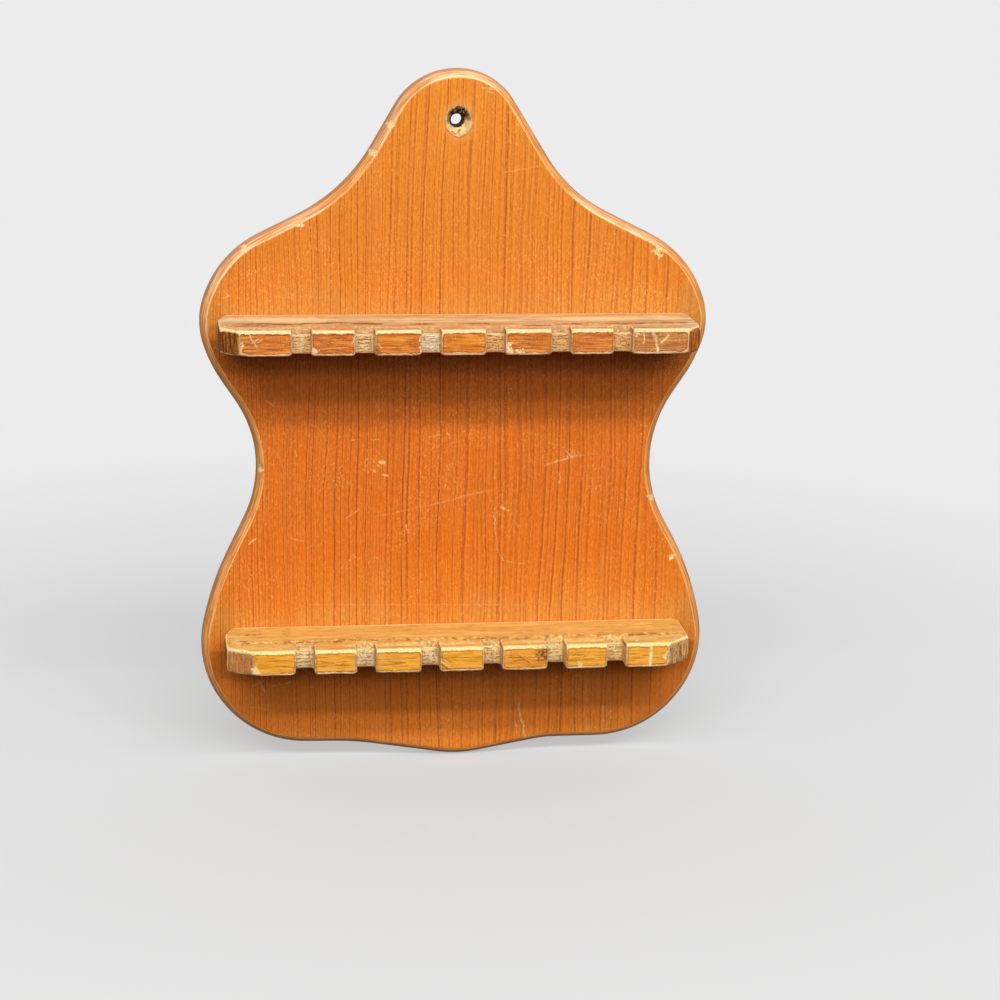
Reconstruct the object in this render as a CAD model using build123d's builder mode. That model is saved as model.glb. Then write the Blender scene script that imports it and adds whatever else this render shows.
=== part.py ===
from build123d import *
import os
from math import radians, tan

# Wall rack for twelve souvenir spoons, in millimetres. The origin is on the axis of the hanging
# hole at the board's back face. X runs along the rails, Z is up, and the front faces -Y.

# Back board: one sawn and stained softwood board with its front edge rounded over
board_thickness = 9.5
board_edge_radius = 3.2

# Board outline seen from the front, clockwise from the cap: each corner as x, z and the radius
# it is rounded to. The board was sawn by hand, so its left and right sides differ a little.
outline_corners = (
    (17.0, 22.5, 29.0),  # right side of the cap
    (52.0, -33.0, 70.0),  # hollow right slope
    (107.0, -60.0, 48.0),  # right shoulder, upper
    (120.5, -91.5, 33.0),  # right shoulder, lower
    (111.5, -113.0, 52.0),  # under the right shoulder
    (84.0, -155.0, 58.0),  # right waist
    (115.5, -212.0, 136.0),  # right hip
    (124.5, -254.0, 48.0),  # right foot lobe, upper
    (98.0, -293.5, 49.0),  # right foot lobe, lower
    (47.0, -293.5, 59.0),  # right wave of the foot
    (5.5, -301.0, 57.0),  # middle of the foot
    (-43.5, -293.0, 124.0),  # left wave of the foot
    (-91.5, -292.0, 49.0),  # left foot lobe, lower
    (-118.5, -253.0, 48.0),  # left foot lobe, upper
    (-109.0, -213.0, 140.0),  # left hip
    (-81.0, -154.0, 56.0),  # left waist
    (-109.0, -112.5, 66.0),  # under the left shoulder
    (-117.0, -92.0, 34.0),  # left shoulder, lower
    (-105.5, -60.5, 48.0),  # left shoulder, upper
    (-49.5, -32.5, 78.0),  # hollow left slope
    (-18.5, 22.0, 32.0),  # left side of the cap
)

# Hanging hole: a drilled hole whose mouth is broken out into a shallow cone at the front
hanging_hole_radius = 2.65
hole_mouth_radius = 5.8
hole_mouth_angle = 90

# Notched rails: two square-edged sticks of the same stock, fixed to the board by their back edge
rail_thickness = 11.6
rail_depth = 37.0
notch_width = 8.6
notch_offsets = (-71.4, -43.6, -14.3, 14.3, 43.6, 71.4)
top_front_easing = 2.2
bottom_front_easing = 0.8
tooth_side_easing = 0.7
notch_lip_depth = 2.4
notch_lip_drop = 3.0
left_back_cut = (3.6, 10.0)
right_back_cut = (2.5, 2.5)

# Each rail's own sizes: its ends, its height, where its notches are centred and how deep they
# run, and the cut on each front corner as its length along the rail and its depth
rails = {
    "upper_rail": {
        "left": -107.0,
        "right": 107.5,
        "middle_z": -93.1,
        "notch_centre": 0.0,
        "notch_depth": 6.0,
        "left_cut": (8.4, 7.2),
        "right_cut": (6.6, 7.2),
    },
    "lower_rail": {
        "left": -104.5,
        "right": 109.0,
        "middle_z": -240.0,
        "notch_centre": 2.0,
        "notch_depth": 9.7,
        "left_cut": (11.5, 6.8),
        "right_cut": (11.3, 9.8),
    },
}

# Countersunk wood screws, driven from behind through the board into each rail
screw_length = 31.8
screw_shank_radius = 1.75
screw_head_radius = 3.5
screw_head_angle = 82
screw_point_length = 5.0
screw_slot_width = 0.9
screw_slot_depth = 0.9
board_clearance_radius = 2.0
screw_places = {"left": (-86.0, 25), "middle": (0.0, 110), "right": (86.0, 70)}

front_y = -board_thickness
rail_front_y = front_y - rail_depth
screw_head_height = (screw_head_radius - screw_shank_radius) / tan(radians(screw_head_angle / 2))

front_face_plane = Plane(origin=(0, front_y, 0), x_dir=(1, 0, 0), z_dir=(0, -1, 0))
back_face_plane = Plane(origin=(0, 0, 0), x_dir=(-1, 0, 0), z_dir=(0, 1, 0))


def rail_plan(rail):
    """Corners of a rail seen from above, with its cut front corners and eased back corners."""
    left = rail["left"]
    right = rail["right"]
    left_length, left_depth = rail["left_cut"]
    right_length, right_depth = rail["right_cut"]
    left_back_length, left_back_depth = left_back_cut
    right_back_length, right_back_depth = right_back_cut
    return (
        (left + left_back_length, front_y),
        (right - right_back_length, front_y),
        (right, front_y - right_back_depth),
        (right, rail_front_y + right_depth),
        (right - right_length, rail_front_y),
        (left + left_length, rail_front_y),
        (left, rail_front_y + left_depth),
        (left, front_y - left_back_depth),
    )


def edges_at(part, direction, y, z=None):
    """Straight edges of a part along one axis, at one depth and, if given, at one height."""
    nearness = 0.01
    edges = part.edges().filter_by(direction)
    edges = edges.filter_by_position(Axis.Y, y - nearness, y + nearness)
    if z is None:
        return edges
    return edges.filter_by_position(Axis.Z, z - nearness, z + nearness)


os.makedirs("parts", exist_ok=True)

# Screws: a slotted flat head, a plain shank at the thread's outer size, and a point
screws = {}
for rail_name, rail in rails.items():
    for side, (offset, slot_angle) in screw_places.items():
        screw_x = rail["notch_centre"] + offset
        screw_z = rail["middle_z"]
        profile_plane = Plane(origin=(screw_x, 0, screw_z), x_dir=(1, 0, 0), z_dir=(0, 0, 1))
        head_plane = Plane(origin=(screw_x, 0, screw_z), x_dir=(-1, 0, 0), z_dir=(0, 1, 0))
        with BuildPart() as screw:
            with BuildSketch(profile_plane):
                with BuildLine():
                    Polyline(
                        (0, 0),
                        (screw_head_radius, 0),
                        (screw_shank_radius, -screw_head_height),
                        (screw_shank_radius, screw_point_length - screw_length),
                        (0, -screw_length),
                        close=True,
                    )
                make_face()
            revolve(axis=Axis((screw_x, 0, screw_z), (0, 1, 0)))
            with BuildSketch(head_plane):
                Rectangle(3 * screw_head_radius, screw_slot_width, rotation=slot_angle)
            extrude(amount=-screw_slot_depth, mode=Mode.SUBTRACT)
        screw_name = f"{rail_name}_screw_{side}"
        screw.part.label = screw_name
        export_step(screw.part, f"parts/{screw_name}.step")
        screws[screw_name] = screw

# Back board
with BuildPart() as back_board:
    with BuildSketch(Plane.XZ):
        with BuildLine():
            FilletPolyline(
                *[(x, z) for x, z, radius in outline_corners],
                radius=[radius for x, z, radius in outline_corners],
                close=True,
            )
        make_face()
    extrude(amount=board_thickness)
    fillet(back_board.faces().sort_by(Axis.Y)[0].edges(), radius=board_edge_radius)
    with Locations(front_face_plane.location):
        CounterSinkHole(hanging_hole_radius, hole_mouth_radius, counter_sink_angle=hole_mouth_angle)
    for rail in rails.values():
        for offset, slot_angle in screw_places.values():
            screw_x = rail["notch_centre"] + offset
            with Locations(back_face_plane.location * Pos(-screw_x, rail["middle_z"], 0)):
                CounterSinkHole(
                    board_clearance_radius, screw_head_radius, counter_sink_angle=screw_head_angle
                )
back_board.part.label = "back_board"
export_step(back_board.part, "parts/back_board.step")

# Rails: a plain stick with its front corners cut off, six notches and every front edge eased
for rail_name, rail in rails.items():
    bottom_z = rail["middle_z"] - rail_thickness / 2
    top_z = rail["middle_z"] + rail_thickness / 2
    notch_wall_y = rail_front_y + rail["notch_depth"]
    with BuildPart() as notched_rail:
        with BuildSketch(Plane.XY.offset(bottom_z)):
            with BuildLine():
                Polyline(*rail_plan(rail), close=True)
            make_face()
            with Locations(*[(rail["notch_centre"] + x, rail_front_y) for x in notch_offsets]):
                Rectangle(notch_width, 2 * rail["notch_depth"], mode=Mode.SUBTRACT)
        extrude(amount=rail_thickness)
        chamfer(
            edges_at(notched_rail, Axis.X, notch_wall_y, top_z),
            length=notch_lip_depth,
            length2=notch_lip_drop,
        )
        fillet(edges_at(notched_rail, Axis.X, rail_front_y, top_z), radius=top_front_easing)
        fillet(edges_at(notched_rail, Axis.X, rail_front_y, bottom_z), radius=bottom_front_easing)
        fillet(edges_at(notched_rail, Axis.Z, rail_front_y), radius=tooth_side_easing)
        for side in screw_places:
            add(screws[f"{rail_name}_screw_{side}"].part, mode=Mode.SUBTRACT)
    notched_rail.part.label = rail_name
    export_step(notched_rail.part, f"parts/{rail_name}.step")
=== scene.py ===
import math
from functools import reduce
from types import SimpleNamespace

import bmesh
import bpy
import numpy as np
from mathutils import Matrix, Vector, kdtree, noise


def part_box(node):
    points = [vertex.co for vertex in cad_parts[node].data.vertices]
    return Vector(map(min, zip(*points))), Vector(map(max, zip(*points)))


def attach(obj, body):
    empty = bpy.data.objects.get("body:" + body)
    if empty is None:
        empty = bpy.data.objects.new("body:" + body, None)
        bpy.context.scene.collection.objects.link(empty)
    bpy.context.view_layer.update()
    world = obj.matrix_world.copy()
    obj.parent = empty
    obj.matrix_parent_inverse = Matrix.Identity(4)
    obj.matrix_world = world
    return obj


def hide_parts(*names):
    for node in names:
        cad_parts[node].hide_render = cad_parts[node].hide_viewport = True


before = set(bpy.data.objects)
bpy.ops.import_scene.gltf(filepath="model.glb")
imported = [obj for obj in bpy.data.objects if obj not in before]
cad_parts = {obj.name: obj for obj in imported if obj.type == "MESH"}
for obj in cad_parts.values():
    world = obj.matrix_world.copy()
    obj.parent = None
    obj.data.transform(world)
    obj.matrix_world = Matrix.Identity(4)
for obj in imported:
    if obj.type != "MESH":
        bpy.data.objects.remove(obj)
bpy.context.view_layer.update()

# Back board
# One piece of straight-grained softwood, sawn to a scalloped outline by hand and stained orange
# brown. A quarter-inch round-over, run shallow, leaves a worn arris all round the front face.
mm = 0.001
same_place = 0.001 * mm
board_low, board_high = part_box("back_board")
board_front = board_low.y
screw_names = [name for name in sorted(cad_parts) if "_screw_" in name]


def box_centre(node_name):
    low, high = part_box(node_name)
    return (low + high) / 2


def finished(mesh_owner):
    """The mesh that an object's modifiers make, which then replaces the object's own mesh."""
    depsgraph = bpy.context.evaluated_depsgraph_get()
    made = bpy.data.meshes.new_from_object(mesh_owner.evaluated_get(depsgraph))
    mesh_owner.modifiers.clear()
    mesh_owner.data = made
    return made


def new_piece(name, bm):
    mesh = bpy.data.meshes.new(name)
    bm.to_mesh(mesh)
    bm.free()
    piece = bpy.data.objects.new(name, mesh)
    bpy.context.scene.collection.objects.link(piece)
    return piece


def dress(piece, material):
    piece.data.materials.clear()
    piece.data.materials.append(material)


def write_attributes(mesh, **layers):
    for name, values in layers.items():
        layer = mesh.attributes.new(name, "FLOAT", "POINT")
        layer.data.foreach_set("value", np.asarray(values, np.float32))


def board_outline(spacing):
    """The board's sawn outline at its back face, as one closed loop of short even edges."""
    bm = bmesh.new()
    bm.from_mesh(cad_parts["back_board"].data)
    bmesh.ops.remove_doubles(bm, verts=bm.verts[:], dist=same_place)
    bmesh.ops.bisect_plane(
        bm,
        geom=bm.verts[:] + bm.edges[:] + bm.faces[:],
        plane_co=(0, -slice_depth, 0),
        plane_no=(0, 1, 0),
        clear_inner=True,
        clear_outer=True,
    )
    hole_centres = [Vector((0, 0, 0))] + [box_centre(name) for name in screw_names]
    hole_reach = 6 * mm
    hole_verts = [
        v
        for v in bm.verts
        if min(math.hypot(v.co.x - c.x, v.co.z - c.z) for c in hole_centres) < hole_reach
    ]
    bmesh.ops.delete(bm, geom=hole_verts, context="VERTS")
    long_edges = bm.edges[:]
    while long_edges:
        bmesh.ops.subdivide_edges(bm, edges=long_edges, cuts=1)
        long_edges = [e for e in bm.edges if e.calc_length() > spacing]
    for _ in range(outline_rounds):
        bmesh.ops.smooth_vert(bm, verts=bm.verts[:], factor=0.5, use_axis_x=True, use_axis_z=True)
    for v in bm.verts:
        v.co.y = -back_easing
    return bm


slice_depth = 3 * mm
outline_rounds = 16
back_easing = 0.4 * mm
round_over_radius = 6.35 * mm
round_over_inset = 3.2 * mm
outline_spacing = 0.62 * mm

bm = board_outline(outline_spacing)
back_face = bmesh.ops.contextual_create(bm, geom=bm.edges[:])["faces"][0]
loop_points = [v.co.copy() for v in back_face.verts]

# The edge's profile from the side wall to the flat face: inset from the outline and depth
turn = math.acos(1 - round_over_inset / round_over_radius)
round_over_height = round_over_radius * math.sin(turn)
wall_end = board_front + round_over_height
extruded = bmesh.ops.extrude_face_region(bm, geom=[back_face])["geom"]
front_face = [g for g in extruded if isinstance(g, bmesh.types.BMFace)][0]
for v in front_face.verts:
    v.co.y = wall_end
bmesh.ops.recalc_face_normals(bm, faces=bm.faces[:])

arc_steps = 9
profile = []
for step in range(1, arc_steps):
    angle = turn * step / arc_steps
    inset = round_over_radius * (1 - math.cos(angle))
    profile.append((inset, round_over_radius * math.sin(angle)))
profile.append((round_over_inset - 0.1 * mm, round_over_height - 0.22 * mm))
profile.append((round_over_inset + 0.25 * mm, round_over_height - 0.05 * mm))
for flat_inset in (0.8, 1.4, 2.1, 3.0, 4.2, 6.0, 8.5):
    profile.append((round_over_inset + flat_inset * mm, round_over_height))
inset_so_far = 0
height_so_far = 0
for inset, height in profile:
    bmesh.ops.inset_region(
        bm,
        faces=[front_face],
        thickness=inset - inset_so_far,
        depth=height - height_so_far,
        use_even_offset=True,
    )
    inset_so_far = inset
    height_so_far = height
bmesh.ops.inset_region(
    bm, faces=[back_face], thickness=back_easing, depth=back_easing, use_even_offset=True
)
board = new_piece("stained_back_board", bm)


def lathe(profile, centre, steps=96):
    """A closed round cutter, turned about an axis along Y from pairs of radius and depth."""
    bm = bmesh.new()
    verts = [bm.verts.new((centre.x + radius, y, centre.z)) for radius, y in profile]
    edges = [bm.edges.new(pair) for pair in zip(verts, verts[1:])]
    bmesh.ops.spin(
        bm,
        geom=verts + edges,
        cent=centre,
        axis=(0, 1, 0),
        angle=math.tau,
        steps=steps,
        use_merge=True,
    )
    bmesh.ops.remove_doubles(bm, verts=bm.verts[:], dist=0.002 * mm)
    bmesh.ops.holes_fill(bm, edges=bm.edges[:], sides=0)
    bmesh.ops.recalc_face_normals(bm, faces=bm.faces[:])
    return bm


# The hanging hole: drilled straight, its mouth crushed and torn wider at the front
bore_radius = 2.65 * mm
mouth_radius = 5.4 * mm
torn_depth = 3.4 * mm
over = 1.5 * mm
hole_profile = [(bore_radius, over)]
for share in (0.0, 0.12, 0.24, 0.36, 0.48, 0.6, 0.72, 0.84, 0.92, 1.0):
    radius = bore_radius + (mouth_radius - bore_radius) * share**0.7
    hole_profile.append((radius, board_front + torn_depth * (1 - share)))
hole_profile.append((mouth_radius + 0.4 * mm, board_front - over))
hole_cutter_mesh = lathe(hole_profile, Vector((0, 0, 0)), 128)
for v in hole_cutter_mesh.verts:
    share = (board_front + torn_depth - v.co.y) / torn_depth
    if share > 0.01:
        share = min(share, 1.0)
        upright = Vector((v.co.x * 1500, v.co.y * 500, v.co.z * 260))
        splinters = noise.noise(upright) * (1.0 if v.co.z > 0 else 0.45)
        ragged = noise.noise(v.co * 900) * 0.5 + noise.noise(v.co * 2600) * 0.4
        pull = 1 + share * (0.13 * ragged + 0.16 * splinters)
        v.co.x = v.co.x * pull + share * 0.5 * mm
        v.co.z = v.co.z * pull * (1 + 0.17 * share)
hole_cutter = new_piece("hole_cutter", hole_cutter_mesh)

seat_radius = 3.55 * mm
clearance_radius = 2.0 * mm
seat_depth = 1.85 * mm
cutters = [hole_cutter]
for name in screw_names:
    centre = box_centre(name)
    seat_profile = [
        (seat_radius, over),
        (seat_radius, 0),
        (clearance_radius, -seat_depth),
        (clearance_radius, board_front - over),
    ]
    seat = lathe(seat_profile, Vector((centre.x, 0, centre.z)), 48)
    cutters.append(new_piece("seat_cutter_" + name, seat))
for cutter in cutters:
    drill = board.modifiers.new("drill", "BOOLEAN")
    drill.operation = "DIFFERENCE"
    drill.solver = "EXACT"
    drill.object = cutter
finished(board)
for cutter in cutters:
    bpy.data.objects.remove(cutter)


class OutlineRuler:
    """Measures any place on the board against its sawn outline."""

    def __init__(self, points):
        self.points = points
        self.tree = kdtree.KDTree(len(points))
        self.around = []
        length = 0
        for i, point in enumerate(points):
            self.tree.insert(Vector((point.x, 0, point.z)), i)
            self.around.append(length)
            length += (points[(i + 1) % len(points)] - point).length
        self.tree.balance()

    def measure(self, place):
        """How far a place is in from the outline, how far along it, and the way inward."""
        flat = Vector((place.x, 0, place.z))
        _, i, distance = self.tree.find(flat)
        before = self.points[i - 1]
        after = self.points[(i + 1) % len(self.points)]
        along = Vector((after.x - before.x, 0, after.z - before.z)).normalized()
        inward = Vector((along.z, 0, -along.x))
        if inward.dot(flat - Vector((self.points[i].x, 0, self.points[i].z))) < 0:
            inward = -inward
        return distance, self.around[i], inward


ruler = OutlineRuler(loop_points)

# Knocks on the arris: place across and up the board, reach along the edge and depth, in mm
knocks = (
    (93, -58.8, 4.4, 1),
    (-29.6, -2, 3, 0.6),
    (-88, -158.6, 2.4, 0.7),
    (94.6, -174.6, 3.2, 0.7),
    (-70, -46.4, 2.8, 0.4),
    (-95, -57.4, 2.6, 0.3),
    (-118.6, -240, 2.6, 0.3),
    (105, -204, 2.2, 0.3),
    (-37.6, -14.6, 2.8, 0.4),
)
# Stretches where the arris is rubbed wide and paler, partly painted highlight on the top and upper
# shoulders:
# place, reach and how much, in mm
rubbed_and_lit_stretches = (
    (2, 22, 26, 1),
    (-28, -2, 26, 0.55),
    (30, -4, 22, 0.35),
    (66, -38, 22, 0.9),
    (86, -52, 16, 1),
    (-70, -47, 30, 0.6),
    (-100, -64, 30, 0.75),
    (-110, -86, 22, 0.45),
    (-100, -185, 26, 0.25),
)
mesh = board.data
inward_mm = np.zeros(len(mesh.vertices))
around_mm = np.zeros(len(mesh.vertices))
knocked = np.zeros(len(mesh.vertices))
rubbed_wide = np.zeros(len(mesh.vertices))
rim_reach = 9 * mm
arris_reach = 2.4 * mm
for v in mesh.vertices:
    distance, around, inward = ruler.measure(v.co)
    inward_mm[v.index] = distance / mm
    if distance > rim_reach and v.co.y < -0.5 * mm:
        continue
    around_mm[v.index] = around / mm
    across, up = v.co.x / mm, v.co.z / mm
    for x, z, reach, amount in rubbed_and_lit_stretches:
        share = max(0, 1 - math.hypot(across - x, up - z) / reach)
        rubbed_wide[v.index] = max(rubbed_wide[v.index], min(1, 1.6 * share) * amount)
    depth_share = min(1, max(0, -v.co.y / -board_front))
    waver = noise.noise(Vector((v.co.x, 0, v.co.z)) * 70) * 0.22 * mm
    waver += noise.noise(Vector((v.co.x, 0, v.co.z)) * 260 + Vector((5, 1, 2))) * 0.10 * mm
    arris_share = max(0, 1 - abs(distance - round_over_inset) / arris_reach) * depth_share
    v.co += inward * (abs(waver) * 0.3 + max(waver, 0)) * arris_share
    v.co.y += max(-waver, 0) * 0.9 * arris_share
    for x, z, reach, depth in knocks:
        share = max(0, 1 - math.hypot(across - x, up - z) / reach)
        if share > 0:
            near_front = min(1, max(0, (depth_share - 0.30) / 0.35))
            knocked[v.index] = max(knocked[v.index], share * near_front)
            rough = 0.7 + 0.6 * noise.noise(v.co * 700)
            bite = share * share * depth * mm * rough * depth_share
            v.co += inward * bite
            v.co.y += bite * 0.8
write_attributes(
    mesh, inward=inward_mm, around=around_mm, knocked=knocked, rubbed_wide=rubbed_wide
)
mesh.shade_smooth()
mesh.set_sharp_from_angle(angle=math.radians(32))
for face in mesh.polygons:
    if abs(face.normal.y) > 0.99999:
        face.use_smooth = False


class Amount:
    """A number, place or colour that varies over a surface: sums of amounts make a finish."""

    def __init__(self, finish, socket):
        self.finish = finish
        self.socket = socket

    def math(self, operation, b=0.0, c=0.0):
        return self.finish.math(operation, self, b, c)

    def __add__(self, other):
        return self.math("ADD", other)

    def __sub__(self, other):
        return self.math("SUBTRACT", other)

    def __rsub__(self, other):
        return self.finish.math("SUBTRACT", other, self)

    def __mul__(self, other):
        return self.math("MULTIPLY", other)

    def __truediv__(self, other):
        return self.math("DIVIDE", other)

    def __abs__(self):
        return self.math("ABSOLUTE")

    def vector(self, operation, inputs):
        return self.finish.amount("ShaderNodeVectorMath", {0: self, **inputs}, operation=operation)

    def split(self, kind="ShaderNodeSeparateXYZ"):
        return [Amount(self.finish, part) for part in self.finish.node(kind, {0: self}).outputs]

    def ramp(self, start, end, low=0.0, high=1.0):
        """Runs smoothly from low to high as the amount goes from start to end, either way round."""
        inputs = {"Value": self, "From Min": start, "From Max": end, "To Min": low, "To Max": high}
        return self.finish.amount("ShaderNodeMapRange", inputs, interpolation_type="SMOOTHSTEP")

    def mottle(self, scale=1.0, detail=2.0, roughness=0.5, output=0):
        inputs = {"Vector": self, "Scale": scale, "Detail": detail, "Roughness": roughness}
        return self.finish.amount("ShaderNodeTexNoise", inputs, output)

    def swing(self, reach):
        """Noise as a swing either way about nothing."""
        return (self - 0.5) * reach

    def stretched(self, x, y, z, detail=2.0, roughness=0.5, shift=0.0):
        """Noise drawn out along an axis: the three numbers are how often it changes per mm."""
        across, deep, up = self.split()
        moved = join(across.math("MULTIPLY_ADD", x, shift), deep * y, up * z)
        return moved.mottle(1.0, detail, roughness)

    def cells(self, socket, measure, randomness=1.0, **settings):
        """A pattern of cells: one measure of a point in its cell, and two numbers of the cell's."""
        inputs = {socket: self, "Scale": 1.0, "Randomness": randomness}
        made = self.finish.node("ShaderNodeTexVoronoi", inputs, **settings).outputs
        number, other, _ = Amount(self.finish, made["Color"]).split("ShaderNodeSeparateColor")
        return Amount(self.finish, made[measure]), number, other

    def rings(self, seed):
        """Uneven lines: a point's signed way from its own line, and two numbers of that line's."""
        moved = self + seed
        line, number, other = moved.cells("W", "W", 0.8, voronoi_dimensions="1D", feature="F1")
        return moved - line, number, other

    def specks(self, x, y, z, share, size):
        """Small flecks: how many of the cells hold one, and how much of a cell it fills."""
        across, deep, up = self.split()
        bent = join(across * x, deep * y, up * z).vector("ADD", {1: self.mottle(1.3)})
        distance, number, width = bent.cells("Vector", "Distance")
        inside = (distance - width * size).ramp(0.0, -0.10)
        return inside * number.ramp(1.0 - share, 1.02 - share)

    def ragged(self, often, reach):
        """A place moved about by noise, so that what is drawn at it has a ragged outline."""
        shift = self.mottle(often, 2.0, 0.6, "Color").vector("SUBTRACT", {1: (0.5, 0.5, 0.5)})
        return self.vector("ADD", {1: shift.vector("SCALE", {3: reach})})

    def bands(self, stops):
        """A colour that changes smoothly as the amount passes each stop, a value and its colour."""
        start, end = stops[0][0], stops[-1][0]
        inputs = {"Value": self, "From Min": start, "From Max": end}
        made = self.finish.node("ShaderNodeValToRGB")
        self.finish.feed(made.inputs[0], self.finish.amount("ShaderNodeMapRange", inputs))
        made.color_ramp.interpolation = "EASE"
        elements = made.color_ramp.elements
        for _ in stops[2:]:
            elements.new(0.5)
        for element, (stop, shade) in zip(elements, stops):
            element.position = (stop - start) / (end - start)
            element.color = (*shade, 1.0)
        return Amount(self.finish, made.outputs[0])

    def bump(self, distance):
        inputs = {"Height": self, "Distance": distance, "Strength": 1.0}
        return self.finish.amount("ShaderNodeBump", inputs)


class Finish:
    """A surface finish or a light, built up from small steps on the nodes of its owner."""

    def __init__(self, owner, surface="Principled BSDF"):
        owner.use_nodes = True
        self.owner = owner
        self.tree = owner.node_tree
        self.surface = self.tree.nodes[surface]

    def node(self, kind, inputs=(), **settings):
        made = self.tree.nodes.new(kind)
        for key, value in settings.items():
            setattr(made, key, value)
        for key, value in dict(inputs).items():
            self.feed(made.inputs[key], value)
        return made

    def feed(self, socket, value):
        if isinstance(value, Amount):
            self.tree.links.new(value.socket, socket)
        elif socket.type == "RGBA":
            socket.default_value = (*value, 1.0)
        else:
            socket.default_value = value

    def amount(self, kind, inputs=(), output=0, **settings):
        return Amount(self, self.node(kind, inputs, **settings).outputs[output])

    def math(self, operation, a, b=0.0, c=0.0):
        return self.amount("ShaderNodeMath", {0: a, 1: b, 2: c}, operation=operation)

    def place(self):
        """Where a point of the piece is, in millimetres."""
        return self.amount("ShaderNodeTexCoord", output="Object").vector("SCALE", {3: 1 / mm})

    def measured(self, attribute):
        return self.amount("ShaderNodeAttribute", output="Fac", attribute_name=attribute)

    def give(self, name, value):
        """Sets or links one of the finished surface's own values."""
        self.feed(self.surface.inputs[name], value)


def join(x, y, z):
    return x.finish.amount("ShaderNodeCombineXYZ", {0: x, 1: y, 2: z})


def largest(a, b):
    return a.math("MAXIMUM", b)


def smallest(a, b):
    return a.math("MINIMUM", b)


def strongest(marks):
    return reduce(largest, marks)


def blend(share, first, second, mode="MIX"):
    """Goes from a first colour to a second as a share goes from zero to one."""
    inputs = {0: share, 6: first, 7: second}
    return share.finish.amount("ShaderNodeMix", inputs, 2, data_type="RGBA", blend_type=mode)


def coats(colour, *layers):
    """Lays colours one over another: each layer is how much of it shows, its colour and how."""
    for share, over_colour, *mode in layers:
        colour = blend(share, colour, over_colour, *mode)
    return colour


# Scratches on the board's face: start and end across and up the board, width and how pale, in mm
scratches = (
    (-34.7, -182, -6, -176, 0.45, 0.34),
    (-6, -176, 21.8, -169, 0.45, 0.42),
    (20.8, -23.1, 38.4, -19.9, 0.4, 0.34),
    (10.6, 14.6, 14.8, 14, 0.6, 0.85),
    (13, 12.9, 15.4, 12.7, 0.45, 0.6),
    (-48.5, -182.7, -42.6, -178.5, 0.42, 0.55),
    (-20.7, -186.1, -18.8, -190.9, 0.45, 0.75),
    (20.6, -179.1, 20.8, -189.6, 0.42, 0.75),
    (20.8, -189.6, 22.4, -198.4, 0.38, 0.65),
    (22.4, -198.4, 24.9, -204.2, 0.35, 0.55),
    (24.9, -204.2, 35.8, -205.9, 0.35, 0.55),
    (23.4, -178.1, 27.2, -180.1, 0.65, 0.95),
    (44, -158.8, 51.9, -156, 0.5, 0.7),
    (51.9, -156, 57.9, -154.2, 0.6, 0.85),
    (53.6, -151.8, 56.5, -155.6, 0.5, 0.75),
    (53.7, -155.6, 56.4, -151.8, 0.45, 0.7),
    (57.9, -154.2, 68, -153.6, 0.32, 0.4),
    (-93, -194.4, -89.8, -191.1, 0.6, 0.85),
    (-73.8, -191.9, -67.8, -192.9, 0.35, 0.45),
    (-64.5, -223.8, 24.5, -225.7, 0.35, 0.32),
    (33.5, -272.5, 34.8, -279.6, 0.55, 0.95),
    (34.8, -279.6, 36.6, -286.5, 0.62, 1.00),
    (36.6, -286.5, 38, -292.7, 0.62, 1.00),
    (32.8, -284.1, 33.6, -290.1, 0.6, 0.85),
    (74.7, -277.1, 75.5, -287.2, 0.34, 0.6),
    (78.5, -277.2, 78.8, -283.8, 0.34, 0.6),
    (-88.5, -260.3, -85.3, -267.3, 0.55, 0.75),
    (-83, -263.4, -73.7, -261.2, 0.45, 0.55),
    (-91, -263, -86, -260, 0.4, 0.5),
    (-94.6, -273.5, -83, -274.8, 0.4, 0.5),
    (-72, -150.2, -71.1, -152.6, 0.45, 0.55),
    (-35.2, -127.2, -33.8, -131.9, 0.4, 0.45),
    (-85, -127, -82, -129.5, 0.55, 0.5),
    (-82, -129.5, -80.6, -125.5, 0.45, 0.45),
    (-2, -157.5, -1.2, -160.5, 0.4, 0.55),
    (-60, -131, -57, -133, 0.35, 0.35),
    (88, -210, 96, -203, 0.32, 0.38),
    (-103.5, -76, -101.8, -78.8, 0.38, 0.55),
    (-101.8, -78.8, -104.6, -79.6, 0.36, 0.45),
    (64.5, -70.5, 67, -74, 0.38, 0.45),
    (-32.9, -155.8, -30.9, -156.2, 0.95, 0.95),
    (-35.6, -160.2, -34.8, -160.6, 0.7, 0.8),
    (-31.4, -162.4, -29.8, -162.6, 0.7, 0.75),
    (-46.2, -145.6, -42.2, -145.4, 0.42, 0.6),
    (-36.8, -145.6, -34, -145.4, 0.42, 0.45),
    (-10.6, -144.8, -5.6, -143.6, 0.52, 0.75),
    (-2.4, -143, -1.4, -143.6, 0.6, 0.65),
    (50.8, -161.8, 50.4, -167.2, 0.42, 0.6),
    (20.8, -161, 20.4, -165, 0.42, 0.5),
    (-45, -200.8, -44, -201.4, 0.6, 0.6),
    (-47.2, -202.8, -46.2, -203.2, 0.55, 0.55),
)
# Patches peppered with tiny pale flecks: place, reach each way and how strongly, in mm
flecked_patches = (
    (-36, -157, 9, 8, 0.9),
    (-9, -162, 6, 18, 0.55),
    (-84, -73, 40, 18, 0.55),
    (82, -82, 30, 16, 0.75),
    (0, -52, 62, 26, 0.4),
    (-24, -192, 16, 10, 0.55),
    (66, -186, 12, 16, 0.35),
    (-104, -78, 5, 4, 0.7),
    (-78, -170, 22, 30, 0.35),
    (0, -228, 110, 14, 0.35),
    (20, -215, 70, 20, 0.25),
    (55, -153, 8, 4, 1),
    (46, -157, 6, 4, 0.8),
    (62, -180, 8, 10, 0.5),
)


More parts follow.
